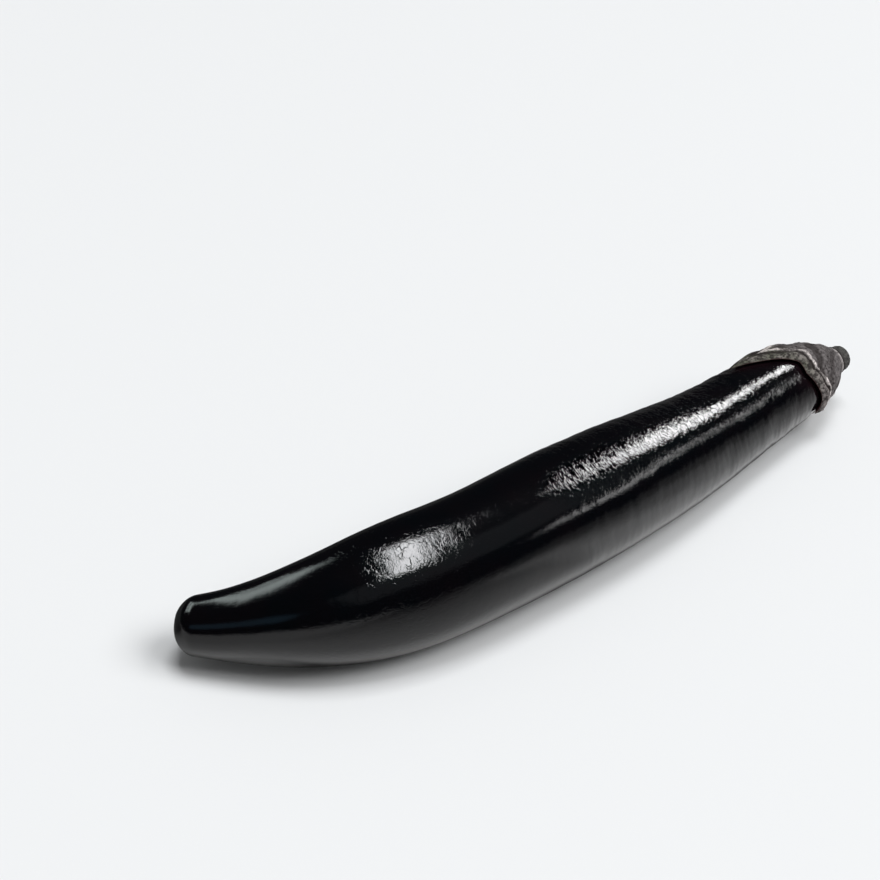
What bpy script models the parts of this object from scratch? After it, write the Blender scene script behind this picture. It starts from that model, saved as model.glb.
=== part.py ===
# A long black eggplant lying on its side: fruit, calyx and stem stub.
# Lengths are in metres. X runs from the blossom end to the stem, Z is up.

import math

import bmesh
import bpy
import numpy as np
from mathutils import Vector

MM = 0.001

# Fruit: width across at points along its length, from the blossom end
FRUIT_LENGTH = 254 * MM
WIDTHS = (
    (0, 16.8),
    (12, 21.7),
    (31, 31.8),
    (56, 39.8),
    (88, 41.8),
    (122, 41.8),
    (156, 39.7),
    (192, 33.9),
    (224, 29.6),
    (254, 22.0),
)
# How far the middle line bends sideways, and how far the underside lifts off the table
BEND = ((0, 19.0), (31, -1.2), (76, -11.2), (127, -8.2), (178, -1.3), (224, 8.2), (254, 11.0))
LIFT = ((0, 4.7), (31, 1.4), (76, 0.0), (127, 0.0), (178, 0.0), (224, 1.7), (254, 6.4))
TIP_ROUNDING = 5.8 * MM
SHOULDER_ROUNDING = 19.8 * MM
END_FULLNESS = 2.2
FLAT_DEPTH = 0.25 * MM

# Broad lengthwise ridges and slow swellings, as shares of the radius
RIDGES = 5
RIDGE_SHARE = 0.012
RIDGE_DRIFT = 2.2
SWELL_SHARE = 0.006
SWELL_LENGTH = 61 * MM

# Calyx: a thick cap over the shoulder with pointed lobes
SKIN_GAP = 0.3 * MM
RIM_DISTANCE = 14.8 * MM
RIM_SLANT = 4.5 * MM
SLANT_TURN = 80
# Each lobe: turn in degrees, length, half width in degrees
LOBES = ((64, 22.0, 50), (130, 1.5, 30), (199, 4.5, 22), (262, 7.0, 36), (322, 9.0, 36))
LOBE_POINT = 1.5
CAP_THICKNESS = 1.4 * MM
LOBE_THINNING = 0.5
# A lobe this long or longer thins out fully towards its tip
THINNING_REACH = 10.0 * MM
CAP_BULK = 2.7 * MM
# How far back from the fruit's stem end the bulk starts and stops thinning out
BULK_FADE = (1.0 * MM, 11.0 * MM)
# Places on the cap's outside, as shares of the way from the neck to the rim
RIB_START = (0.1, 0.5)
THINNING_START = (0.4, 0.9)
ROLL_CENTRE = 0.86
ROLL_WIDTH = 0.12
NECK_SPREAD = 0.34
NECK_SHARE = 0.2
RIM_ROLL = 0.8 * MM
LIP_THINNING = 0.96
NECK_RADIUS = 5.0 * MM
NECK_HEIGHT = 6.0 * MM
NECK_SINK = 0.5 * MM
CAP_RIBS = 15
RIB_HEIGHT = 0.22 * MM

# Stem stub on the neck
STEM_RADIUS = 4.5 * MM
STEM_LENGTH = 4.8 * MM
STEM_EDGE = 0.18
STEM_DOME = 0.42
COLLAR_HEIGHT = 1.2 * MM
COLLAR_SWELL = 0.5 * MM

FRUIT_SIDES = 44
FRUIT_RINGS = 60
CAP_SIDES = 60
CAP_RINGS = 30
RING_SPACING = 1.5
STEM_SIDES = 24
STEM_RINGS = 14


def smooth_through(stations, at):
    """A natural cubic spline through (place, value) pairs."""
    xs = np.array([place for place, _ in stations], float)
    ys = np.array([value for _, value in stations], float)
    count = len(xs)
    gaps = np.diff(xs)
    system = np.eye(count)
    wanted = np.zeros(count)
    for i in range(1, count - 1):
        system[i, i - 1 : i + 2] = gaps[i - 1], 2 * (gaps[i - 1] + gaps[i]), gaps[i]
        wanted[i] = 6 * ((ys[i + 1] - ys[i]) / gaps[i] - (ys[i] - ys[i - 1]) / gaps[i - 1])
    bends = np.linalg.solve(system, wanted)
    i = int(np.clip(np.searchsorted(xs, at) - 1, 0, count - 2))
    before = at - xs[i]
    after = xs[i + 1] - at
    cubic = (bends[i] * after**3 + bends[i + 1] * before**3) / (6 * gaps[i])
    left = ys[i] / gaps[i] - bends[i] * gaps[i] / 6
    right = ys[i + 1] / gaps[i] - bends[i + 1] * gaps[i] / 6
    return cubic + left * after + right * before


def smoothstep(low, high, value):
    share = min(max((value - low) / (high - low), 0.0), 1.0)
    return share * share * (3 - 2 * share)


def end_share(distance, rounding):
    """The share of its plain width that the fruit has near an end."""
    left = min(max(1 - distance / rounding, 0.0), 1.0)
    return math.sqrt(1 - left**END_FULLNESS)


def plain_radius(along):
    return smooth_through(WIDTHS, along / MM) * MM / 2


def middle(along):
    """The middle line at a distance from the blossom end."""
    place = along / MM
    side = smooth_through(BEND, place) * MM
    up = smooth_through(LIFT, place) * MM + plain_radius(along)
    return Vector((along - FRUIT_LENGTH / 2, side, up))


def sideways(along):
    """The level direction square to the middle line, pointing to +Y."""
    step = MM
    ahead = middle(min(along + step, FRUIT_LENGTH)) - middle(max(along - step, 0))
    ahead.z = 0
    ahead.normalize()
    return Vector((-ahead.y, ahead.x, 0))


def skin(along, turn):
    """A point of the skin; turn 0 faces +Y and a quarter turn faces up."""
    radius = plain_radius(along)
    radius *= end_share(along, TIP_ROUNDING)
    radius *= end_share(FRUIT_LENGTH - along, SHOULDER_ROUNDING)
    drift = RIDGE_DRIFT * along / FRUIT_LENGTH
    ridge = RIDGE_SHARE * math.cos(RIDGES * turn + drift)
    swell = SWELL_SHARE * math.sin(2 * math.pi * along / SWELL_LENGTH + 2 * turn)
    radius *= 1 + ridge + swell
    side = sideways(along)
    return middle(along) + side * radius * math.cos(turn) + Vector((0, 0, radius * math.sin(turn)))


def flat_below(point):
    return Vector((point.x, point.y, max(point.z - FLAT_DEPTH, 0.0)))


def skin_normal(along, turn):
    step = 0.5 * MM
    pole = 0.02 * MM
    aside = math.radians(1)
    back = skin(max(along - step, pole), turn)
    ahead = skin(min(along + step, FRUIT_LENGTH - pole), turn)
    around = skin(along, turn + aside) - skin(along, turn - aside)
    normal = around.cross(ahead - back)
    normal.normalize()
    outward = skin(along, turn) - middle(along)
    return normal if normal.dot(outward) >= 0 else -normal


def mapped_sphere(name, sides, rings, place):
    """A UV sphere with each vertex moved to place(polar angle, turn)."""
    mesh = bpy.data.meshes.new(name)
    shape = bmesh.new()
    bmesh.ops.create_uvsphere(shape, u_segments=sides, v_segments=rings, radius=1)
    for vertex in shape.verts:
        polar = math.acos(min(max(vertex.co.z, -1), 1))
        turn = math.atan2(vertex.co.y, vertex.co.x)
        vertex.co = place(polar, turn)
    if shape.calc_volume(signed=True) < 0:
        bmesh.ops.reverse_faces(shape, faces=shape.faces)
    shape.to_mesh(mesh)
    shape.free()
    mesh.shade_smooth()
    return bpy.data.objects.new(name, mesh)


def fruit_place(polar, turn):
    along = FRUIT_LENGTH * (1 - math.cos(polar)) / 2
    return flat_below(skin(along, turn))


def lobe_reach(turn):
    """How far the lobes reach past the plain rim at this turn."""
    reach = 0.0
    for centre, length, half in LOBES:
        apart = (math.degrees(turn) - centre + 180) % 360 - 180
        nearness = max(1 - abs(apart) / half, 0.0)
        reach += length * MM * nearness**LOBE_POINT
    return reach


def rim_distance(turn):
    """How far back from the stem end the cap reaches at this turn."""
    return RIM_DISTANCE + RIM_SLANT * math.cos(turn - math.radians(SLANT_TURN)) + lobe_reach(turn)


def end_axis():
    step = 4 * MM
    ahead = middle(FRUIT_LENGTH) - middle(FRUIT_LENGTH - step)
    ahead.normalize()
    return ahead


def around_axis(height, radius, turn):
    """A point on a circle round the stem's axis, height beyond the fruit's end."""
    axis = end_axis()
    side = Vector((-axis.y, axis.x, 0))
    side.normalize()
    up = axis.cross(side)
    centre = middle(FRUIT_LENGTH) + axis * height
    return centre + side * radius * math.cos(turn) + up * radius * math.sin(turn)


def cap_place(polar, turn):
    """The upper half of the sphere is the cap's outside and the lower half its inside."""
    share = min(polar, math.pi - polar) / (math.pi / 2)
    outside = polar <= math.pi / 2
    reach = rim_distance(turn)
    if not outside:
        along = FRUIT_LENGTH - reach * share**2
        return skin(along, turn) + skin_normal(along, turn) * SKIN_GAP
    if share <= NECK_SHARE:
        return around_axis(NECK_HEIGHT, NECK_RADIUS * share / NECK_SHARE, turn)
    down = (share - NECK_SHARE) / (1 - NECK_SHARE)
    along = FRUIT_LENGTH - NECK_SINK - (reach - NECK_SINK) * down**RING_SPACING
    roll = math.exp(-(((down - ROLL_CENTRE) / ROLL_WIDTH) ** 2))
    lip = math.sqrt(1 - smoothstep(ROLL_CENTRE, 1.0, down) * LIP_THINNING)
    ribs = RIB_HEIGHT * math.cos(CAP_RIBS * turn) * smoothstep(*RIB_START, down)
    bulk = CAP_BULK * (1 - smoothstep(*BULK_FADE, FRUIT_LENGTH - along))
    pointed = min(lobe_reach(turn) / THINNING_REACH, 1.0)
    thin = 1 - LOBE_THINNING * pointed * smoothstep(*THINNING_START, down)
    offset = SKIN_GAP + (CAP_THICKNESS * thin + bulk + RIM_ROLL * roll * thin + ribs) * lip
    low = skin(along, turn) + skin_normal(along, turn) * offset
    high = around_axis(NECK_HEIGHT, NECK_RADIUS, turn)
    return high.lerp(low, smoothstep(0.0, NECK_SPREAD, down))


def stem_place(polar, turn):
    """A short round stub: the sphere's lower pole sits on the neck."""
    share = polar / math.pi
    foot = NECK_HEIGHT + SKIN_GAP
    if share > 1 - STEM_EDGE:
        return around_axis(foot, STEM_RADIUS * (1 - share) / STEM_EDGE, turn)
    height = STEM_LENGTH * (1 - smoothstep(0.0, 1 - STEM_EDGE, share))
    collar = COLLAR_SWELL * math.exp(-((height / COLLAR_HEIGHT) ** 2))
    dome = math.sqrt(1 - (1 - min(share / STEM_DOME, 1.0)) ** 2)
    return around_axis(foot + height, (STEM_RADIUS + collar) * dome, turn)


def material(name, colour, roughness, coat=0.0):
    made = bpy.data.materials.new(name)
    made.use_nodes = True
    surface = made.node_tree.nodes["Principled BSDF"]
    surface.inputs["Base Color"].default_value = (*colour, 1)
    surface.inputs["Roughness"].default_value = roughness
    surface.inputs["Metallic"].default_value = 0
    surface.inputs["Coat Weight"].default_value = coat
    made.diffuse_color = (*colour, 1)
    return made


def make_fruit():
    fruit = mapped_sphere("fruit", FRUIT_SIDES, FRUIT_RINGS, fruit_place)
    fruit.data.materials.append(material("glossy_black_skin", (0.006, 0.005, 0.009), 0.12, 1.0))
    return fruit


def make_calyx():
    calyx = mapped_sphere("calyx", CAP_SIDES, CAP_RINGS, cap_place)
    calyx.data.materials.append(material("dusky_calyx", (0.075, 0.066, 0.062), 0.8))
    return calyx


def make_stem():
    stem = mapped_sphere("stem", STEM_SIDES, STEM_RINGS, stem_place)
    stem.data.materials.append(material("woody_stem", (0.085, 0.08, 0.072), 0.75))
    return stem


def centre_over_origin(pieces):
    """Moves every piece alike, so that the whole stands centred over the origin."""
    corners = [vertex.co for piece in pieces for vertex in piece.data.vertices]
    low = Vector(min(corner[i] for corner in corners) for i in range(3))
    high = Vector(max(corner[i] for corner in corners) for i in range(3))
    shift = Vector((-(low.x + high.x) / 2, -(low.y + high.y) / 2, -low.z))
    for piece in pieces:
        for vertex in piece.data.vertices:
            vertex.co += shift


def main():
    for old in list(bpy.data.objects):
        bpy.data.objects.remove(old, do_unlink=True)
    eggplant = bpy.data.collections.new("eggplant")
    bpy.context.scene.collection.children.link(eggplant)
    pieces = [make_fruit(), make_calyx(), make_stem()]
    centre_over_origin(pieces)
    for piece in pieces:
        eggplant.objects.link(piece)


main()
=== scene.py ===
# Looks of a long black eggplant on a pale table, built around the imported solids.
# Lengths in the dictionaries are in millimetres, in the solids' own frame.

import math

import bpy
import numpy as np
from mathutils import Matrix, Vector


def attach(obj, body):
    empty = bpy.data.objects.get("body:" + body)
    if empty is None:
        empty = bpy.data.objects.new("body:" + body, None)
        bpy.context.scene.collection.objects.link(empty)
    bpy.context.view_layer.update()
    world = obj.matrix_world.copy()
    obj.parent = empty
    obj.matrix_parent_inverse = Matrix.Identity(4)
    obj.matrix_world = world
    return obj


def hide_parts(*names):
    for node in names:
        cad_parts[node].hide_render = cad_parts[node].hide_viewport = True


mm = 0.001
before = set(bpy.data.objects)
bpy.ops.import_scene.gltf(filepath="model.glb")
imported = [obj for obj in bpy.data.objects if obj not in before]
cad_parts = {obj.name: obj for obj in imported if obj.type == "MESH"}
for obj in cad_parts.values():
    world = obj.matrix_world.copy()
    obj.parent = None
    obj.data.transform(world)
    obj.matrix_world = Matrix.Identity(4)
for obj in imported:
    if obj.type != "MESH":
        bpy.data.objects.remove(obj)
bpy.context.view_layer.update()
print("frame loaded:", sorted(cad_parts))


# Small helpers

def smoothStep(low, high, value):
    share = np.clip((value - low) / (high - low), 0, 1)
    return share * share * (3 - 2 * share)


def bump(value, centre, width):
    return np.exp(-(((value - centre) / width) ** 2))


def splineThrough(stations, at):
    # natural cubic spline, the same as the one behind the solids
    xs, ys = np.array(stations, float).T
    count = len(xs)
    gaps = np.diff(xs)
    system = np.eye(count)
    wanted = np.zeros(count)
    for i in range(1, count - 1):
        system[i, i - 1 : i + 2] = gaps[i - 1], 2 * (gaps[i - 1] + gaps[i]), gaps[i]
        wanted[i] = 6 * ((ys[i + 1] - ys[i]) / gaps[i] - (ys[i] - ys[i - 1]) / gaps[i - 1])
    bends = np.linalg.solve(system, wanted)
    i = np.clip(np.searchsorted(xs, at) - 1, 0, count - 2)
    before = at - xs[i]
    after = xs[i + 1] - at
    cubic = (bends[i] * after**3 + bends[i + 1] * before**3) / (6 * gaps[i])
    left = ys[i] / gaps[i] - bends[i] * gaps[i] / 6
    right = ys[i + 1] / gaps[i] - bends[i + 1] * gaps[i] / 6
    return cubic + left * after + right * before


def hills(across, around, repeat, seed):
    # random smooth hills, roughly -1 to 1, that close on themselves after `repeat` cells around
    heights = np.random.default_rng(seed).uniform(-1, 1, (600, repeat))
    cellA = np.floor(across).astype(int)
    cellB = np.floor(around).astype(int)
    total = 0
    for stepA, weightA in enumerate(hillWeights(across - cellA)):
        for stepB, weightB in enumerate(hillWeights(around - cellB)):
            total = total + weightA * weightB * heights[(cellA + stepA) % 600, (cellB + stepB) % repeat]
    return total * 2


def hillWeights(t):
    return (
        (1 - t) ** 3 / 6,
        (3 * t**3 - 6 * t**2 + 4) / 6,
        (-3 * t**3 + 3 * t**2 + 3 * t + 1) / 6,
        t**3 / 6,
    )


def unit(vectors):
    return vectors / (np.linalg.norm(vectors, axis=-1, keepdims=True) + 1e-12)


def wrappedGrid(name, points):
    # points is rows by sides by 3, in millimetres; the first and last rows close to a point
    rows, sides = points.shape[:2]
    first = points[0].mean(0)
    last = points[-1].mean(0)
    verts = np.vstack([[first], points[1:-1].reshape(-1, 3), [last]]) * mm
    faces = []
    ring = np.arange(sides)
    after = (ring + 1) % sides
    for j in range(rows - 3):
        low = 1 + j * sides
        high = low + sides
        faces += np.stack([low + ring, low + after, high + after, high + ring], 1).tolist()
    top = 1 + (rows - 3) * sides
    faces += [[0, 1 + b, 1 + a] for a, b in zip(ring, after)]
    faces += [[len(verts) - 1, top + a, top + b] for a, b in zip(ring, after)]
    mesh = bpy.data.meshes.new(name)
    mesh.from_pydata(verts.tolist(), [], faces)
    if signedVolume(mesh) < 0:
        mesh.flip_normals()
    mesh.shade_smooth()
    piece = bpy.data.objects.new(name, mesh)
    bpy.context.scene.collection.objects.link(piece)
    return piece


def signedVolume(mesh):
    mesh.calc_loop_triangles()
    corners = np.empty(len(mesh.vertices) * 3)
    mesh.vertices.foreach_get("co", corners)
    corners = corners.reshape(-1, 3)
    triangles = np.empty(len(mesh.loop_triangles) * 3, int)
    mesh.loop_triangles.foreach_get("vertices", triangles)
    a, b, c = (corners[triangles.reshape(-1, 3)[:, i]] for i in range(3))
    return np.einsum("ij,ij->i", a, np.cross(b, c)).sum() / 6


def addField(piece, name, values):
    # one number for each vertex, in the order that wrappedGrid made them
    flat = np.concatenate([[values[0].mean()], values[1:-1].ravel(), [values[-1].mean()]])
    field = piece.data.attributes.new(name, "FLOAT", "POINT")
    field.data.foreach_set("value", flat.astype(np.float32))


def addVectors(piece, name, values):
    # one vector for each vertex, in the same order
    flat = np.vstack([values[0].mean(0), values[1:-1].reshape(-1, 3), values[-1].mean(0)])
    field = piece.data.attributes.new(name, "FLOAT_VECTOR", "POINT")
    field.data.foreach_set("vector", flat.astype(np.float32).ravel())


# Fruit: the solid's own shape, drawn finer, with wrinkles, dents and pocks

fruit = {
    "length": 254,
    "widths": [(0, 16.8), (12, 21.7), (31, 31.8), (56, 39.8), (88, 41.8), (122, 41.8), (156, 39.7),
               (192, 33.9), (224, 29.6), (254, 22.0)],
    "bend": [(0, 19.0), (31, -1.2), (76, -11.2), (127, -8.2), (178, -1.3), (224, 8.2), (254, 11.0)],
    "lift": [(0, 4.7), (31, 1.4), (76, 0.0), (127, 0.0), (178, 0.0), (224, 1.7), (254, 6.4)],
    "tipRounding": 5.8,
    "shoulderRounding": 19.8,
    "endFullness": 2.2,
    "flatDepth": 0.25,
    "ridges": 5,
    "ridgeShare": 0.012,
    "ridgeDrift": 2.2,
    "swellShare": 0.006,
    "swellLength": 61,
    "toFrame": (-4.568, 3.803, 0.0),
    "rings": 600,
    "sides": 150,
    "poleShare": 0.25,
    "wrinkleDepth": 0.045,
    "wrinkleLength": 1.05,
    "dentDepth": 0.15,
    # the wide dents' and the small ones' lengths, and how far from the tip there are more of the small ones
    "dentLengths": (13, 5),
    "tipDents": 45,
    "grainDepth": 0.008,
    "grainLength": 0.75,
    # along, where the wrinkled part starts and where it is strongest near the stem
    "wrinkleStart": (108, 130),
    "wrinkleEnd": (190, 215),
    # a low edge that runs along the top towards the stem
    "edgeTurn": 111,
    "edgeWidth": 13,
    "edgeHeight": 0.35,
    "edgeStart": (165, 215),
    # along, turn in degrees, radius, depth
    "pocks": [(214, 137, 1.0, 0.16), (97, 129, 0.8, 0.10), (150, 150, 0.7, 0.1), (58, 70, 0.8, 0.1)],
    "scarRadius": 2.0,
    "scarDepth": 0.7,
    # turn in degrees from which the sides are smooth, and where along the finishes start
    "smoothSide": (124, 143),
    "stripesStart": (104, 128),
    "stemEndStart": (180, 210),
    # along, the middle and the width of the crackled belt, and where the rest of the crackle starts
    "crackleBelt": (60, 24),
    "crackleStart": (104, 122),
    "underRimReach": 7,
}


def plainRadius(along):
    return splineThrough(fruit["widths"], along) / 2


def endShare(distance, rounding):
    left = np.clip(1 - distance / rounding, 0, 1)
    return np.sqrt(1 - left ** fruit["endFullness"])


def middleLine(along):
    side = splineThrough(fruit["bend"], along)
    up = splineThrough(fruit["lift"], along) + plainRadius(along)
    return np.stack([along - fruit["length"] / 2, side, up], -1)


def sideways(along):
    ahead = middleLine(np.minimum(along + 1, fruit["length"])) - middleLine(np.maximum(along - 1, 0))
    ahead[..., 2] = 0
    ahead = unit(ahead)
    return np.stack([-ahead[..., 1], ahead[..., 0], 0 * along], -1)


def skinPoint(along, turn, relief=0):
    # turn 0 faces +Y and a quarter turn faces up
    radius = plainRadius(along) * endShare(along, fruit["tipRounding"])
    radius = radius * endShare(fruit["length"] - along, fruit["shoulderRounding"])
    drift = fruit["ridgeDrift"] * along / fruit["length"]
    ridge = fruit["ridgeShare"] * np.cos(fruit["ridges"] * turn + drift)
    swell = fruit["swellShare"] * np.sin(2 * math.pi * along / fruit["swellLength"] + 2 * turn)
    radius = radius * (1 + ridge + swell) + relief
    out = sideways(along) * np.cos(turn)[..., None]
    out[..., 2] += np.sin(turn)
    return middleLine(along) + out * radius[..., None]


def skinNormal(along, turn):
    ahead = skinPoint(np.minimum(along + 0.5, fruit["length"] - 0.02), turn)
    ahead = ahead - skinPoint(np.maximum(along - 0.5, 0.02), turn)
    aside = math.radians(1)
    around = skinPoint(along, turn + aside) - skinPoint(along, turn - aside)
    normal = unit(np.cross(around, ahead))
    outward = skinPoint(along, turn) - middleLine(along)
    flip = np.sign((normal * outward).sum(-1, keepdims=True))
    return normal * np.where(flip == 0, 1, flip)


def skinRelief(along, turn):
    share = turn / (2 * math.pi)
    drift = hills(along / 14, share * 9, 9, 11)
    wave = along / fruit["wrinkleLength"] + 1.3 * drift
    fine = hills(wave, share * 34, 34, 12)
    wide = hills(wave / 2.3, share * 22, 22, 13)
    strength = 0.15 + 0.85 * smoothStep(*fruit["wrinkleStart"], along)
    strength = strength * (0.8 + 0.4 * hills(along / 22, share * 6, 6, 14))
    strength = strength * (1 + 1.2 * smoothStep(*fruit["wrinkleEnd"], along))
    relief = fruit["wrinkleDepth"] * strength * (fine + 0.8 * wide)
    wideDent, smallDent = fruit["dentLengths"]
    relief += fruit["dentDepth"] * 0.5 * hills(along / wideDent, share * 9, 9, 15)
    small = 0.25 + 0.3 * bump(along, 0, fruit["tipDents"])
    relief += fruit["dentDepth"] * small * hills(along / smallDent, share * 18, 18, 16)
    relief += fruit["grainDepth"] * hills(along / fruit["grainLength"], share * 140, 140, 17)
    wander = 4 * hills(along / 9, share * 4, 4, 18)
    turned = (np.degrees(turn) - fruit["edgeTurn"] + wander) / fruit["edgeWidth"]
    relief += fruit["edgeHeight"] * np.exp(-(turned**2)) * smoothStep(*fruit["edgeStart"], along)
    for place, degrees, radius, depth in fruit["pocks"]:
        aside = (turn - math.radians(degrees) + math.pi) % (2 * math.pi) - math.pi
        distance = np.hypot(along - place, aside * plainRadius(np.float64(place)))
        relief -= depth * bump(distance, 0, radius)
    return relief * smoothStep(0, 12, along)


def makeFruit():
    rows = np.linspace(0, math.pi, fruit["rings"] + 1)
    along = fruit["length"] * (1 - np.cos(rows)) / 2
    # even spacing over the body, with the poles kept fine
    even = np.linspace(0, fruit["length"], fruit["rings"] + 1)
    along = fruit["poleShare"] * along + (1 - fruit["poleShare"]) * even
    turn = np.linspace(0, 2 * math.pi, fruit["sides"], endpoint=False)
    along, turn = np.meshgrid(along, turn, indexing="ij")
    points = skinPoint(along, turn, skinRelief(along, turn))
    scar = bump(np.arccos(1 - 2 * along / fruit["length"]) * 40, 0, fruit["scarRadius"])
    inward = unit(middleLine(np.full_like(along, 5)) - middleLine(0 * along))
    points += scar[..., None] * fruit["scarDepth"] * inward
    points[..., 2] = np.maximum(points[..., 2] - fruit["flatDepth"], 0)
    piece = wrappedGrid("fruit_skin", points + np.array(fruit["toFrame"]))
    rim = rimDistance(turn)
    fromRim = fruit["length"] - along - rim
    underRim = np.exp(-np.clip(fromRim, 0, 99) / fruit["underRimReach"])
    addField(piece, "underRim", underRim * (fromRim > -4))
    addField(piece, "blossomScar", scar)
    # the skin is smooth again low on the sides
    low = 1 - 0.9 * smoothStep(*fruit["smoothSide"], np.degrees(turn))
    addField(piece, "stripes", smoothStep(*fruit["stripesStart"], along) * low)
    crackle = bump(along, *fruit["crackleBelt"]) + 0.6 * smoothStep(*fruit["crackleStart"], along) * low
    addField(piece, "crackle", crackle)
    addField(piece, "stemEnd", smoothStep(*fruit["stemEndStart"], along) * low)
    radius = plainRadius(along)
    unrolled = np.stack([along, radius * np.cos(turn), radius * np.sin(turn)], -1)
    addVectors(piece, "unrolled", unrolled * mm)
    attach(piece, "root")
    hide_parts("fruit")
    return piece


# Calyx: a thick cap with lobes, a rolled rim, and ribs and folds that run from the stem

calyx = {
    "gap": 0.3,
    "rimDistance": 14.8,
    "rimSlant": 4.5,
    "slantTurn": 80,
    # turn in degrees, length, half width in degrees
    "lobes": [(64, 22.0, 50), (130, 1.5, 30), (199, 4.5, 22), (262, 7.0, 36), (322, 9.0, 36)],
    "lobePoint": 1.5,
    "thickness": 1.4,
    "thinning": 0.5,
    "thinningReach": 10,
    "thinningStart": (0.4, 0.9),
    "bulk": 2.7,
    "bulkFade": (1, 11),
    "rollCentre": 0.86,
    "rollWidth": 0.12,
    "rimRoll": 0.8,
    "neckRadius": 5.0,
    "neckHeight": 6.0,
    "neckSpread": 0.34,
    "neckSink": 0.5,
    "ribs": 15,
    "ribHeight": 0.22,
    "sides": 420,
    "outerRows": 150,
    "lipRows": 14,
    "innerRows": 20,
    "rimLift": 0.7,
    # turn half way down, in degrees, and depth; they swing round by `swirl` degrees from neck to rim
    "valleys": [(12, 0.45), (48, 0.35), (101, 0.75), (151, 0.5), (203, 0.55), (247, 0.6), (291, 0.45),
                (334, 0.6)],
    "valleyWidth": 9,
    "swirl": 140,
    "foldCount": 50,
    "foldDepth": 0.32,
    "foldRange": 0.4,
    "bandWidth": 3.4,
    "bandRadius": 11,
    "crestHeight": 0.40,
    "grooveDepth": 0.35,
    "wrinkleDepth": 0.16,
    "fuzzDepth": 0.06,
    # how far to +Y the cap goes before it is eased back, and the room past that
    "easeFrom": (27.2, 1.05),
}


def lobeReach(turn):
    degrees = np.degrees(turn)
    reach = 0 * degrees
    for centre, length, half in calyx["lobes"]:
        apart = (degrees - centre + 180) % 360 - 180
        reach = reach + length * np.maximum(1 - np.abs(apart) / half, 0) ** calyx["lobePoint"]
    return reach


def rimDistance(turn):
    slant = calyx["rimSlant"] * np.cos(turn - math.radians(calyx["slantTurn"]))
    return calyx["rimDistance"] + slant + lobeReach(turn)


def aroundStem(height, radius, turn):
    # a circle round the stem's line, some height beyond the fruit's end
    end = middleLine(np.array([fruit["length"] - 4.0, fruit["length"]]))
    axis = unit(end[1] - end[0])
    side = unit(np.array([-axis[1], axis[0], 0]))
    up = np.cross(axis, side)
    spread = side * np.cos(turn)[..., None] + up * np.sin(turn)[..., None]
    return end[1] + axis * np.asarray(height)[..., None] + spread * np.asarray(radius)[..., None]


def rimGap(down, turn):
    # the shortest way to the rim, also where the rim slants along a lobe
    step = math.radians(1)
    slope = (rimDistance(turn + step) - rimDistance(turn - step)) / (2 * step * calyx["bandRadius"])
    return (rimDistance(turn) - calyx["neckSink"]) * (1 - down**1.5) / np.sqrt(1 + slope**2)


def capRelief(down, turn):
    # folds and valleys from neck to rim, a crest and a groove along the rim, then creases and fuzz
    swung = np.degrees(turn) - calyx["swirl"] * (down - 0.5)
    share = swung / 360
    gap = rimGap(down, turn)
    drift = hills(down * 3, share * 10, 10, 31)
    count = calyx["foldCount"]
    folds = 0.6 - 1.4 * np.abs(hills(down * 2.2 + 0.3 * drift, share * count + 0.8 * drift, count, 35))
    folds = calyx["foldDepth"] * folds
    for centre, depth in calyx["valleys"]:
        apart = (swung - centre + 8 * drift + 180) % 360 - 180
        folds = folds - depth * bump(apart, 0, calyx["valleyWidth"])
    folds = folds * smoothStep(0.05, 0.3, down) * smoothStep(1.5, 4.5, gap)
    wander = 0.4 * hills(down * 2, share * 24, 24, 36)
    crest = calyx["crestHeight"] * bump(gap, calyx["bandWidth"] + 0.9 + wander, 0.6)
    groove = calyx["grooveDepth"] * bump(gap, calyx["bandWidth"] - 0.4 + wander, 0.5)
    creases = calyx["wrinkleDepth"] * hills(down * 5, share * 58 + drift, 58, 32)
    creases += 0.6 * calyx["wrinkleDepth"] * hills(down * 18, share * 34, 34, 33)
    fuzz = calyx["fuzzDepth"] * hills(down * 60, share * 130, 130, 34)
    small = (creases + fuzz) * smoothStep(0.02, 0.2, down)
    return folds, crest, groove, small


def capOutside(down, turn):
    # down runs from 0 at the neck to 1 at the rim's edge
    reach = rimDistance(turn)
    sink = calyx["neckSink"]
    along = fruit["length"] - sink - (reach - sink) * down**1.5
    pointed = np.minimum(lobeReach(turn) / calyx["thinningReach"], 1)
    thin = 1 - calyx["thinning"] * pointed * smoothStep(*calyx["thinningStart"], down)
    roll = calyx["rimRoll"] * bump(down, calyx["rollCentre"], calyx["rollWidth"])
    lip = np.sqrt(1 - smoothStep(calyx["rollCentre"], 1, down) * 0.96)
    ribs = calyx["ribHeight"] * np.cos(calyx["ribs"] * turn) * smoothStep(0.1, 0.5, down)
    bulk = calyx["bulk"] * (1 - smoothStep(*calyx["bulkFade"], fruit["length"] - along))
    solid = (calyx["thickness"] + roll) * thin + bulk + ribs
    folds, crest, groove, small = capRelief(down, turn)
    height = calyx["gap"] + rimLift(down, turn) + (solid + (folds + crest - groove + small) * thin) * lip
    low = skinPoint(along, turn) + skinNormal(along, turn) * height[..., None]
    high = aroundStem(calyx["neckHeight"] + 0 * down, calyx["neckRadius"] + 0 * down, turn)
    blend = smoothStep(0, calyx["neckSpread"], down)[..., None]
    return high + (low - high) * blend


def rimLift(down, turn):
    # the rim stands a little off the skin, less so at the lobes' tips
    pointed = np.minimum(lobeReach(turn) / 20, 1)
    return calyx["rimLift"] * (1 - 0.6 * pointed) * smoothStep(0.8, 1, down)


def capInside(share, turn):
    along = fruit["length"] - rimDistance(turn) * share**2
    height = calyx["gap"] + rimLift(share**2, turn)
    return skinPoint(along, turn) + skinNormal(along, turn) * height[..., None]


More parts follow.
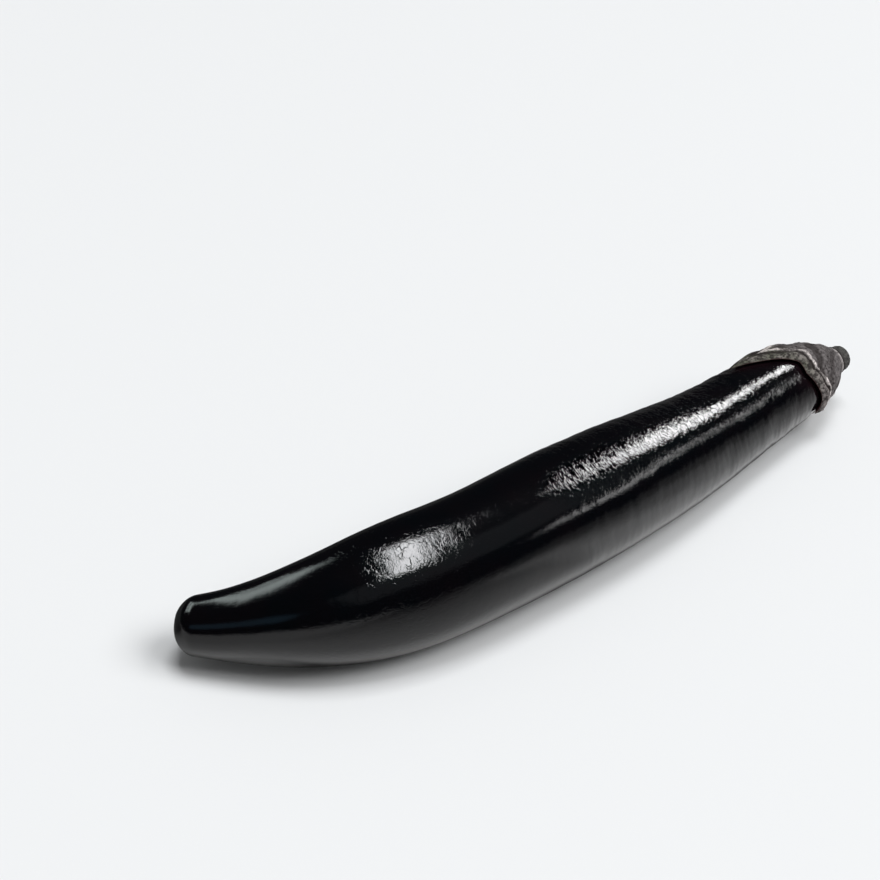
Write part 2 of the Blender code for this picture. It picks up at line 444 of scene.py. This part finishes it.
def makeCalyx():
    turn = np.linspace(0, 2 * math.pi, calyx["sides"], endpoint=False)
    top = np.linspace(0, 1, 12)[:, None] * np.ones_like(turn)
    crown = aroundStem(calyx["neckHeight"] + 0 * top, calyx["neckRadius"] * top, turn + 0 * top)
    outer = np.linspace(0, 0.9, calyx["outerRows"])[1:]
    lip = 1 - 0.1 * np.linspace(1, 0, calyx["lipRows"] + 1)[1:] ** 2
    down = np.concatenate([outer, lip])[:, None] * np.ones_like(turn)
    outside = capOutside(down, turn + 0 * down)
    inner = np.linspace(1, 0, calyx["innerRows"])[1:, None] * np.ones_like(turn)
    inside = capInside(inner, turn + 0 * inner)
    points = np.concatenate([crown, outside, inside]) + np.array(fruit["toFrame"])
    # the lobe that reaches farthest sideways is eased back
    start, room = calyx["easeFrom"]
    side = points[..., 1]
    points[..., 1] = np.where(side > start, start + room * np.tanh((side - start) / room), side)
    piece = wrappedGrid("calyx_cap", points)
    rows = np.concatenate([0 * top, down, 1 + 0 * inner])
    turns = turn + 0 * rows
    addField(piece, "fromRim", rimGap(rows, turns))
    addField(piece, "fromEnd", rimDistance(turns) * rows**1.5)
    folds, crest, groove = capRelief(rows, turns)[:3]
    addField(piece, "folds", folds / calyx["foldRange"])
    addField(piece, "crest", crest / calyx["crestHeight"] - groove / calyx["grooveDepth"])
    addField(piece, "within", np.concatenate([0 * top, 0 * down, 1 + 0 * inner]))
    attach(piece, "root")
    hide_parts("calyx")
    return piece


# Stem: a short cut stub with a collar where it leaves the cap

stem = {
    "radius": 4.5,
    "length": 4.8,
    "edge": 0.18,
    "dome": 0.42,
    "collarHeight": 1.2,
    "collarSwell": 0.5,
    "gap": 0.3,
    "sides": 160,
    "rows": 90,
    "furrows": 13,
    "furrowDepth": 0.10,
    "knobDepth": 0.10,
}


def makeStem():
    share = np.linspace(0, 1, stem["rows"])[:, None] * np.ones(stem["sides"])
    turn = np.linspace(0, 2 * math.pi, stem["sides"], endpoint=False) + 0 * share
    around = turn / (2 * math.pi)
    edge = 1 - stem["edge"]
    height = stem["length"] * (1 - smoothStep(0, edge, share))
    collar = stem["collarSwell"] * bump(height, 0, stem["collarHeight"])
    dome = np.sqrt(1 - (1 - np.minimum(share / stem["dome"], 1)) ** 2)
    foot = np.where(share > edge, (1 - share) / stem["edge"], 1)
    relief = stem["furrowDepth"] * np.cos(stem["furrows"] * turn + 2 * hills(height / 2, around * 8, 8, 41))
    relief += stem["knobDepth"] * hills(height / 0.8, around * 26, 26, 42)
    radius = (stem["radius"] + collar) * dome + relief * smoothStep(0.08, 0.4, share) * (share <= edge)
    radius = radius * foot
    points = aroundStem(calyx["neckHeight"] + stem["gap"] + height, radius, turn)
    piece = wrappedGrid("stem_stub", points + np.array(fruit["toFrame"]))
    addField(piece, "stemHeight", height / stem["length"])
    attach(piece, "root")
    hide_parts("stem")
    return piece


# Shader node groups

def newGroup(name, inputs, outputs):
    group = bpy.data.node_groups.new(name, "ShaderNodeTree")
    for label, value in inputs:
        group.interface.new_socket(label, in_out="INPUT", socket_type="NodeSocketFloat").default_value = value
    for label in outputs:
        group.interface.new_socket(label, in_out="OUTPUT", socket_type="NodeSocketFloat")
    start = group.nodes.new("NodeGroupInput")
    end = group.nodes.new("NodeGroupOutput")
    return group, start, end


def addNode(tree, kind, **settings):
    node = tree.nodes.new(kind)
    for name, value in settings.items():
        setattr(node, name, value)
    return node


def mathNode(tree, operation, first, second):
    node = addNode(tree, "ShaderNodeMath", operation=operation)
    for socket, value in zip(node.inputs, (first, second)):
        if isinstance(value, (int, float)):
            socket.default_value = value
        else:
            tree.links.new(value, socket)
    return node.outputs[0]


def noiseNode(tree, where, scale, detail=2.0, roughness=0.5):
    node = addNode(tree, "ShaderNodeTexNoise")
    tree.links.new(where, node.inputs["Vector"])
    if isinstance(scale, (int, float)):
        node.inputs["Scale"].default_value = scale
    else:
        tree.links.new(scale, node.inputs["Scale"])
    node.inputs["Detail"].default_value = detail
    node.inputs["Roughness"].default_value = roughness
    return node.outputs["Fac"]


def placeGroup(tree, group, **values):
    node = addNode(tree, "ShaderNodeGroup", node_tree=group)
    for name, value in values.items():
        node.inputs[name].default_value = value
    return node


def mixColours(tree, share, first, second):
    node = addNode(tree, "ShaderNodeMix", data_type="RGBA")
    node.clamp_factor = True
    tree.links.new(share, node.inputs["Factor"])
    for socket, value in ((node.inputs[6], first), (node.inputs[7], second)):
        if isinstance(value, tuple):
            socket.default_value = (*value, 1)
        else:
            tree.links.new(value, socket)
    return node.outputs[2]


def ranged(tree, value, low, high, newLow, newHigh):
    node = addNode(tree, "ShaderNodeMapRange")
    tree.links.new(value, node.inputs["Value"])
    for name, number in zip(("From Min", "From Max", "To Min", "To Max"), (low, high, newLow, newHigh)):
        node.inputs[name].default_value = number
    return node.outputs["Result"]


def poreGroup():
    # fine grain and small pits; Size is in millimetres
    group, start, end = newGroup("pores", [("Size", 1.0), ("Pits", 0.5)], ["Height", "Mask"])
    where = addNode(group, "ShaderNodeTexCoord").outputs["Object"]
    scale = mathNode(group, "DIVIDE", 1000.0, start.outputs["Size"])
    grain = noiseNode(group, where, scale, 3.0, 0.55)
    cells = addNode(group, "ShaderNodeTexVoronoi", feature="F1")
    group.links.new(where, cells.inputs["Vector"])
    group.links.new(mathNode(group, "MULTIPLY", scale, 0.6), cells.inputs["Scale"])
    near = addNode(group, "ShaderNodeMapRange", interpolation_type="SMOOTHSTEP")
    group.links.new(cells.outputs["Distance"], near.inputs["Value"])
    near.inputs["From Min"].default_value = 0.05
    near.inputs["From Max"].default_value = 0.4
    near.inputs["To Min"].default_value = 1.0
    near.inputs["To Max"].default_value = 0.0
    pit = mathNode(group, "MULTIPLY", near.outputs["Result"], start.outputs["Pits"])
    group.links.new(mathNode(group, "SUBTRACT", grain, pit), end.inputs["Height"])
    group.links.new(near.outputs["Result"], end.inputs["Mask"])
    return group


def mottleGroup():
    # slow patches of tone; Size is in millimetres
    group, start, end = newGroup("mottle", [("Size", 8.0), ("Contrast", 2.0)], ["Mask"])
    where = addNode(group, "ShaderNodeTexCoord").outputs["Object"]
    scale = mathNode(group, "DIVIDE", 1000.0, start.outputs["Size"])
    noise = noiseNode(group, where, scale, 4.0, 0.6)
    centred = mathNode(group, "SUBTRACT", noise, 0.5)
    spread = mathNode(group, "MULTIPLY", centred, start.outputs["Contrast"])
    group.links.new(mathNode(group, "ADD", spread, 0.5), end.inputs["Mask"])
    return group


def crackGroup():
    # flat cells parted by thin, slightly wavy cracks; Size is in millimetres
    group, start, end = newGroup("cracks", [("Size", 2.4)], ["Height"])
    where = addNode(group, "ShaderNodeTexCoord").outputs["Object"]
    scale = mathNode(group, "DIVIDE", 1000.0, start.outputs["Size"])
    wave = addNode(group, "ShaderNodeTexNoise")
    group.links.new(where, wave.inputs["Vector"])
    group.links.new(mathNode(group, "MULTIPLY", scale, 1.3), wave.inputs["Scale"])
    shift = addNode(group, "ShaderNodeVectorMath", operation="MULTIPLY_ADD")
    group.links.new(wave.outputs["Color"], shift.inputs[0])
    shift.inputs[1].default_value = (0.002, 0.002, 0.002)
    group.links.new(where, shift.inputs[2])
    cells = addNode(group, "ShaderNodeTexVoronoi", feature="DISTANCE_TO_EDGE")
    group.links.new(shift.outputs["Vector"], cells.inputs["Vector"])
    group.links.new(scale, cells.inputs["Scale"])
    depth = ranged(group, cells.outputs["Distance"], 0, 0.12, 1, 0)
    # the cracks come and go, so that the cells stay open
    gaps = noiseNode(group, where, mathNode(group, "MULTIPLY", scale, 0.7), 2.0, 0.5)
    depth = mathNode(group, "MULTIPLY", depth, ranged(group, gaps, 0.42, 0.62, 0.1, 1))
    group.links.new(mathNode(group, "SUBTRACT", 1.0, depth), end.inputs["Height"])
    return group


pores = poreGroup()
mottle = mottleGroup()
cracks = crackGroup()


def fieldNode(tree, name):
    return addNode(tree, "ShaderNodeAttribute", attribute_name=name).outputs["Fac"]


def bumpNode(tree, height, distance):
    node = addNode(tree, "ShaderNodeBump")
    node.inputs["Strength"].default_value = 1.0
    node.inputs["Distance"].default_value = distance * mm
    tree.links.new(height, node.inputs["Height"])
    return node.outputs["Normal"]


def newMaterial(name):
    made = bpy.data.materials.new(name)
    made.use_nodes = True
    return made, made.node_tree, made.node_tree.nodes["Principled BSDF"]


# Skin finish

skinLook = {
    "colour": (0.0005, 0.0010, 0.0016),
    "warmColour": (0.0016, 0.0010, 0.0016),
    "rimColour": (0.010, 0.0045, 0.006),
    "scarColour": (0.045, 0.030, 0.020),
    "patchSize": 14.0,
    "patchContrast": 2.5,
    "roughness": (0.045, 0.07),
    "stemEndRoughness": 0.01,
    "coat": 0.018,
    "coatRoughness": 0.35,
    "specular": 0.55,
    # how tightly the stripes repeat along and around
    "stripeScale": (900, 330, 330),
    "stripeDepth": 0.075,
    "smoothStripes": 0.25,
    "splitWidth": 0.09,
    "splitDepth": 0.040,
    "crackleSize": 2.1,
    "crackleDepth": 0.030,
    "speckleSize": 0.42,
    "speckleDepth": 0.026,
    "stripedSpeckle": 0.4,
    "knobSize": 1.3,
    "knobDepth": 0.06,
}


def skinMaterial():
    made, tree, surface = newMaterial("glossy_black_skin")
    patches = placeGroup(tree, mottle, Size=skinLook["patchSize"], Contrast=skinLook["patchContrast"])
    patches = patches.outputs["Mask"]
    base = mixColours(tree, patches, skinLook["colour"], skinLook["warmColour"])
    rim = mathNode(tree, "MULTIPLY", fieldNode(tree, "underRim"), patches)
    base = mixColours(tree, rim, base, skinLook["rimColour"])
    base = mixColours(tree, fieldNode(tree, "blossomScar"), base, skinLook["scarColour"])
    tree.links.new(base, surface.inputs["Base Color"])
    stemEnd = fieldNode(tree, "stemEnd")
    rough = mathNode(tree, "MULTIPLY", stemEnd, skinLook["stemEndRoughness"])
    rough = mathNode(tree, "ADD", ranged(tree, patches, 0, 1, *skinLook["roughness"]), rough)
    tree.links.new(rough, surface.inputs["Roughness"])

    # fine stripes across the fruit, wider and stronger towards the stem
    unrolled = addNode(tree, "ShaderNodeAttribute", attribute_name="unrolled").outputs["Vector"]
    stretch = addNode(tree, "ShaderNodeMapping")
    tree.links.new(unrolled, stretch.inputs["Vector"])
    stretch.inputs["Scale"].default_value = skinLook["stripeScale"]
    stripes = noiseNode(tree, stretch.outputs["Vector"], 1.0, 2.0, 0.5)
    striped = fieldNode(tree, "stripes")
    shallow = skinLook["smoothStripes"] * skinLook["stripeDepth"]
    amount = ranged(tree, striped, 0, 1, shallow, skinLook["stripeDepth"])
    height = mathNode(tree, "MULTIPLY", stripes, amount)
    # thin splits between flat plates, where another noise crosses its middle
    other = noiseNode(tree, stretch.outputs["Vector"], 0.8, 2.0, 0.6)
    other = mathNode(tree, "ABSOLUTE", mathNode(tree, "SUBTRACT", other, 0.5), 0)
    splits = ranged(tree, other, 0, skinLook["splitWidth"], 0, skinLook["splitDepth"])
    splits = mathNode(tree, "MULTIPLY", splits, striped)
    height = mathNode(tree, "ADD", height, splits)
    crackle = placeGroup(tree, cracks, Size=skinLook["crackleSize"]).outputs["Height"]
    share = mathNode(tree, "MULTIPLY", fieldNode(tree, "crackle"), skinLook["crackleDepth"])
    height = mathNode(tree, "ADD", height, mathNode(tree, "MULTIPLY", crackle, share))
    speckle = placeGroup(tree, pores, Size=skinLook["speckleSize"], Pits=0.3).outputs["Height"]
    shallow = skinLook["stripedSpeckle"] * skinLook["speckleDepth"]
    depth = ranged(tree, striped, 0, 1, skinLook["speckleDepth"], shallow)
    height = mathNode(tree, "ADD", height, mathNode(tree, "MULTIPLY", speckle, depth))
    # larger knobs next to the calyx
    knobs = placeGroup(tree, pores, Size=skinLook["knobSize"], Pits=0.5).outputs["Height"]
    depth = ranged(tree, stemEnd, 0, 1, 0, skinLook["knobDepth"])
    height = mathNode(tree, "ADD", height, mathNode(tree, "MULTIPLY", knobs, depth))
    tree.links.new(bumpNode(tree, height, 1.0), surface.inputs["Normal"])
    surface.inputs["Specular IOR Level"].default_value = skinLook["specular"]
    surface.inputs["Coat Weight"].default_value = skinLook["coat"]
    surface.inputs["Coat Roughness"].default_value = skinLook["coatRoughness"]
    return made


# Calyx finish

calyxLook = {
    "colour": (0.150, 0.137, 0.137),
    "darkColour": (0.016, 0.013, 0.013),
    "bandColour": (0.235, 0.211, 0.203),
    "greenColour": (0.115, 0.117, 0.090),
    # pale for the ring at the neck, and the painted highlight on folds and the rim's crest
    "paleAndHighlightColour": (0.72, 0.66, 0.64),
    # painted shade in the valleys and the groove
    "creaseShadeColour": (0.016, 0.012, 0.011),
    # painted shade for the rim's edge and the cap's inside, over the skin
    "insideShadeColour": (0.030, 0.012, 0.012),
    "roughness": 0.8,
    "specular": 0.06,
    "mottleSize": 1.5,
    "mottleContrast": 3.5,
    "slowSize": 7.0,
    "slowContrast": 3.0,
    # how dark the mottling is on the rim's band and on the crown, and where one passes into the other
    "darkShares": (0.85, 0.55),
    "bandEdge": (3.0, 4.2),
    "greenReach": (13, 22),
    "neckShare": 0.35,
    "foldHighlightShare": 0.28,
    "creaseShadeShares": (0.7, 0.9),
    "fuzzSize": 1.0,
    "fuzzDepth": 0.06,
}


def calyxMaterial():
    made, tree, surface = newMaterial("dusky_calyx")
    patches = placeGroup(tree, mottle, Size=calyxLook["mottleSize"], Contrast=calyxLook["mottleContrast"])
    patches = patches.outputs["Mask"]
    slow = placeGroup(tree, mottle, Size=calyxLook["slowSize"], Contrast=calyxLook["slowContrast"])
    slow = slow.outputs["Mask"]
    gap = fieldNode(tree, "fromRim")
    crown = ranged(tree, gap, *calyxLook["bandEdge"], 0, 1)
    base = mixColours(tree, crown, calyxLook["bandColour"], calyxLook["colour"])
    # greener towards the lobes' tips
    fromEnd = fieldNode(tree, "fromEnd")
    green = mathNode(tree, "MULTIPLY", ranged(tree, fromEnd, *calyxLook["greenReach"], 0, 1.6), slow)
    base = mixColours(tree, green, base, calyxLook["greenColour"])
    dark = ranged(tree, gap, *calyxLook["bandEdge"], *calyxLook["darkShares"])
    dark = mathNode(tree, "MULTIPLY", ranged(tree, patches, 0.2, 0.7, 1, 0), dark)
    base = mixColours(tree, dark, base, calyxLook["darkColour"])
    # a pale ring at the neck
    neck = ranged(tree, fromEnd, 1.2, 0.2, 0, calyxLook["neckShare"])
    base = mixColours(tree, neck, base, calyxLook["paleAndHighlightColour"])
    # painted highlight along folds and the rim's crest, painted shade in valleys and the groove
    folds = fieldNode(tree, "folds")
    crest = fieldNode(tree, "crest")
    high = ranged(tree, folds, 0.5, 0.9, 0, calyxLook["foldHighlightShare"])
    high = mathNode(tree, "MAXIMUM", high, ranged(tree, crest, 0.05, 0.6, 0, 1))
    high = mathNode(tree, "MULTIPLY", high, ranged(tree, patches, 0.2, 0.8, 0.25, 1))
    base = mixColours(tree, high, base, calyxLook["paleAndHighlightColour"])
    # painted shade: the valleys and the groove are darkened in colour
    valleyShadeShare, grooveShadeShare = calyxLook["creaseShadeShares"]
    low = ranged(tree, folds, -0.05, -0.95, 0, valleyShadeShare)
    low = mathNode(tree, "MAXIMUM", low, ranged(tree, crest, -0.1, -0.5, 0, grooveShadeShare))
    base = mixColours(tree, low, base, calyxLook["creaseShadeColour"])
    fuzz = placeGroup(tree, pores, Size=calyxLook["fuzzSize"], Pits=0.3)
    spots = ranged(tree, fuzz.outputs["Height"], 0.25, 0.5, 0.85, 0)
    base = mixColours(tree, spots, base, calyxLook["darkColour"])
    # painted shade on the rim's edge and on the cap's inside, where it lies over the skin
    edge = ranged(tree, gap, 0.4, 0.0, 0, 1)
    inside = mathNode(tree, "MAXIMUM", edge, fieldNode(tree, "within"))
    base = mixColours(tree, inside, base, calyxLook["insideShadeColour"])
    tree.links.new(base, surface.inputs["Base Color"])
    surface.inputs["Roughness"].default_value = calyxLook["roughness"]
    surface.inputs["Specular IOR Level"].default_value = calyxLook["specular"]
    tree.links.new(bumpNode(tree, fuzz.outputs["Height"], calyxLook["fuzzDepth"]), surface.inputs["Normal"])
    return made


# Stem finish

stemLook = {
    "colour": (0.088, 0.085, 0.081),
    "darkColour": (0.030, 0.029, 0.027),
    "spotColour": (0.048, 0.048, 0.043),
    "collarColour": (0.034, 0.032, 0.030),
    "roughness": 0.8,
    "specular": 0.08,
    "mottleSize": 1.0,
    "mottleContrast": 4.0,
    "grainSize": 0.5,
    "grainDepth": 0.15,
}


def stemMaterial():
    made, tree, surface = newMaterial("woody_stem")
    patches = placeGroup(tree, mottle, Size=stemLook["mottleSize"], Contrast=stemLook["mottleContrast"])
    patches = patches.outputs["Mask"]
    base = mixColours(tree, patches, stemLook["darkColour"], stemLook["colour"])
    grain = placeGroup(tree, pores, Size=stemLook["grainSize"], Pits=0.5)
    spots = mathNode(tree, "MULTIPLY", grain.outputs["Mask"], 0.6)
    base = mixColours(tree, spots, base, stemLook["spotColour"])
    collar = ranged(tree, fieldNode(tree, "stemHeight"), 0.28, 0.08, 0, 0.7)
    base = mixColours(tree, collar, base, stemLook["collarColour"])
    tree.links.new(base, surface.inputs["Base Color"])
    surface.inputs["Roughness"].default_value = stemLook["roughness"]
    surface.inputs["Specular IOR Level"].default_value = stemLook["specular"]
    tree.links.new(bumpNode(tree, grain.outputs["Height"], stemLook["grainDepth"]), surface.inputs["Normal"])
    return made


def setMaterial(piece, material):
    piece.data.materials.clear()
    piece.data.materials.append(material)


setMaterial(makeFruit(), skinMaterial())
print("fruit made")
setMaterial(makeCalyx(), calyxMaterial())
print("calyx made")
setMaterial(makeStem(), stemMaterial())
print("stem made")


# Table, lights and camera

table = {
    "width": 12000,
    "colour": (0.74, 0.75, 0.757),
    "roughness": 0.6,
    "specular": 0.1,
    # painted reflection, as the skin mirrors the table: painted shade near the fruit, brightest a little way
    # out, then fading, and painted shade behind
    "mirrorNear": (13, 18),
    "mirrorFade": (21, 33, 75, 260),
    "mirrorLevels": (0.22, 1.0, 0.66, 0.40, 0.09),
    "mirrorBehind": (0, 25),
    "behindLevel": 0.1,
    # along, the painted reflection brighter again under the tip, beyond the tip, and under the half towards
    # the stem
    "mirrorTip": (-118, -96),
    "tipLevel": 0.8,
    "mirrorBeyond": (-155, -125),
    "beyondLevel": 0.5,
    "mirrorRise": (2, 26),
    "riseGain": 2.0,
    "mirrorFall": (40, 80),
    "fallGain": 0.65,
    # the fruit's middle line on the table: offset, bend and centre, and half its straight length
    "middle": (-7, 1.4, 25),
    "halfLength": 110,
}


def fromMiddle(tree, place):
    # how far a place is from the fruit's bent middle line, and how far to the back of it
    offset, bend, centre = table["middle"]
    lengthways = mathNode(tree, "ADD", place.outputs["X"], centre * mm)
    middle = mathNode(tree, "MULTIPLY", mathNode(tree, "POWER", lengthways, 2.0), bend)
    aside = mathNode(tree, "SUBTRACT", place.outputs["Y"], mathNode(tree, "ADD", middle, offset * mm))
    beyond = mathNode(tree, "ABSOLUTE", place.outputs["X"], 0)
    beyond = mathNode(tree, "SUBTRACT", beyond, table["halfLength"] * mm)
    beyond = mathNode(tree, "MAXIMUM", beyond, 0.0)
    away = mathNode(tree, "ADD", mathNode(tree, "POWER", beyond, 2.0), mathNode(tree, "POWER", aside, 2.0))
    return mathNode(tree, "POWER", away, 0.5), aside


def paintedReflectionLevel(tree):
    # painted reflection: how bright the skin mirrors each place of the table
    def between(value, key, atStart, atStop):
        start, stop = table[key]
        return ranged(tree, value, start * mm, stop * mm, atStart, atStop)

    place = addNode(tree, "ShaderNodeSeparateXYZ")
    tree.links.new(addNode(tree, "ShaderNodeNewGeometry").outputs["Position"], place.inputs[0])
    along = place.outputs["X"]
    away, aside = fromMiddle(tree, place)
    level = between(away, "mirrorNear", *table["mirrorLevels"][:2])
    level = mathNode(tree, "MAXIMUM", level, between(along, "mirrorTip", table["tipLevel"], 0))
    for i in range(3):
        start, stop = (value * mm for value in table["mirrorFade"][i : i + 2])
        before, after = table["mirrorLevels"][i + 1 : i + 3]
        level = mathNode(tree, "MULTIPLY", level, ranged(tree, away, start, stop, 1, after / before))
    level = mathNode(tree, "MAXIMUM", level, between(along, "mirrorBeyond", table["beyondLevel"], 0))
    rise = between(along, "mirrorRise", 1, table["riseGain"])
    fall = between(along, "mirrorFall", 1, table["fallGain"])
    level = mathNode(tree, "MULTIPLY", level, mathNode(tree, "MULTIPLY", rise, fall))
    level = mathNode(tree, "MINIMUM", level, 1.0)
    return mathNode(tree, "MULTIPLY", level, between(aside, "mirrorBehind", 1, table["behindLevel"]))


def tableMaterial():
    made, tree, surface = newMaterial("pale_table")
    # in reflections the table shows a painted reflection pattern, with painted shade near and behind the
    # fruit
    mirrored = addNode(tree, "ShaderNodeLightPath").outputs["Is Glossy Ray"]
    colour = mixColours(tree, mirrored, table["colour"], paintedReflectionLevel(tree))
    tree.links.new(colour, surface.inputs["Base Color"])
    surface.inputs["Roughness"].default_value = table["roughness"]
    surface.inputs["Specular IOR Level"].default_value = table["specular"]
    return made


def makeTable():
    reach = table["width"] * mm / 2
    corners = [(-reach, -reach, 0), (reach, -reach, 0), (reach, reach, 0), (-reach, reach, 0)]
    mesh = bpy.data.meshes.new("table")
    mesh.from_pydata(corners, [], [(0, 1, 2, 3)])
    piece = bpy.data.objects.new("table", mesh)
    bpy.context.scene.collection.objects.link(piece)
    setMaterial(piece, tableMaterial())


# Each light: aimed at, direction to it, roll in degrees, how far, width, height, radiance, colour.
# The mirrored ones show in reflections alone, and the others light matt surfaces alone.
mirroredLights = {
    "overheadBox": ((-60, -5, 40), (0.18, 0.01, 0.983), -16, 4000, 3300, 800, 15, (0.97, 0.98, 1.0)),
    "sideBox": ((40, 0, 38), (0.755, 0.258, 0.60), 32, 4000, 1100, 1880, 15, (1.0, 1.0, 1.0)),
    "thinStrip": ((40, -10, 30), (0.80, -0.45, 0.40), 0, 4000, 2600, 380, 4.2, (1.0, 1.0, 1.0)),
    "lowCard": ((-110, 0, 25), (-0.25, 0.865, 0.438), 0, 4000, 1900, 420, 3.4, (0.88, 1.0, 0.98)),
    "highCard": ((-110, 0, 25), (-0.23, 0.755, 0.616), 0, 4000, 1900, 840, 3.4, (0.88, 1.0, 0.98)),
    "blueCard": ((-90, 0, 25), (-0.837, -0.224, 0.5), 0, 4000, 1400, 1100, 0.22, (0.35, 0.7, 1.0)),
    "veilCard": ((0, 0, 30), (0.15, -0.52, 0.84), 0, 4000, 5600, 2800, 0.13, (0.9, 0.95, 1.0)),
}
surfaceLights = {
    "frontKey": ((0, 0, 0), (0.42, -0.50, 0.757), 0, 25000, 15000, 12500, 7.6, (1.0, 1.0, 1.0)),
    "topSoft": ((0, 0, 0), (0.12, -0.04, 0.99), 0, 25000, 10500, 10500, 10.0, (0.98, 0.99, 1.0)),
}


def makeLights(lights, mirrored):
    for name, (target, direction, roll, distance, width, height, radiance, colour) in lights.items():
        data = bpy.data.lights.new(name, "AREA")
        data.shape = "RECTANGLE"
        data.size = width * mm
        data.size_y = height * mm
        data.energy = radiance * math.pi * data.size * data.size_y
        data.color = colour
        lamp = bpy.data.objects.new(name, data)
        bpy.context.scene.collection.objects.link(lamp)
        toLamp = Vector(direction).normalized()
        lamp.location = Vector(target) * mm + toLamp * distance * mm
        turned = toLamp.to_track_quat("Z", "Y").to_matrix() @ Matrix.Rotation(math.radians(roll), 3, "Z")
        lamp.rotation_euler = turned.to_euler()
        lamp.visible_glossy = mirrored
        lamp.visible_diffuse = not mirrored


surround = {
    "seen": (0.90, 0.92, 0.94),
    "mirrored": (0.015, 0.017, 0.020),
    "fill": (0.19, 0.19, 0.19),
}


def makeSurround():
    world = bpy.data.worlds.new("studio")
    bpy.context.scene.world = world
    world.use_nodes = True
    tree = world.node_tree
    sky = tree.nodes["Background"]
    path = addNode(tree, "ShaderNodeLightPath")
    colour = mixColours(tree, path.outputs["Is Glossy Ray"], surround["fill"], surround["mirrored"])
    colour = mixColours(tree, path.outputs["Is Camera Ray"], colour, surround["seen"])
    tree.links.new(colour, sky.inputs["Color"])


camera = {
    "place": (-321.5, -419.5, 441.6),
    "right": (0.8387, -0.5446, 0.0),
    "up": (0.3278, 0.5047, 0.7986),
    "lens": 85,
    "sensor": 36,
}


def makeCamera():
    data = bpy.data.cameras.new("photoView")
    data.lens = camera["lens"]
    data.sensor_width = camera["sensor"]
    seen = bpy.data.objects.new("photoView", data)
    bpy.context.scene.collection.objects.link(seen)
    right = Vector(camera["right"]).normalized()
    up = Vector(camera["up"]).normalized()
    back = right.cross(up)
    turned = Matrix((right, up, back)).transposed().to_4x4()
    seen.matrix_world = Matrix.Translation(Vector(camera["place"]) * mm) @ turned
    bpy.context.scene.camera = seen


makeTable()
makeLights(mirroredLights, True)
makeLights(surfaceLights, False)
makeSurround()
makeCamera()
bpy.context.scene.view_settings.view_transform = "Standard"
print("table, lights and camera made")
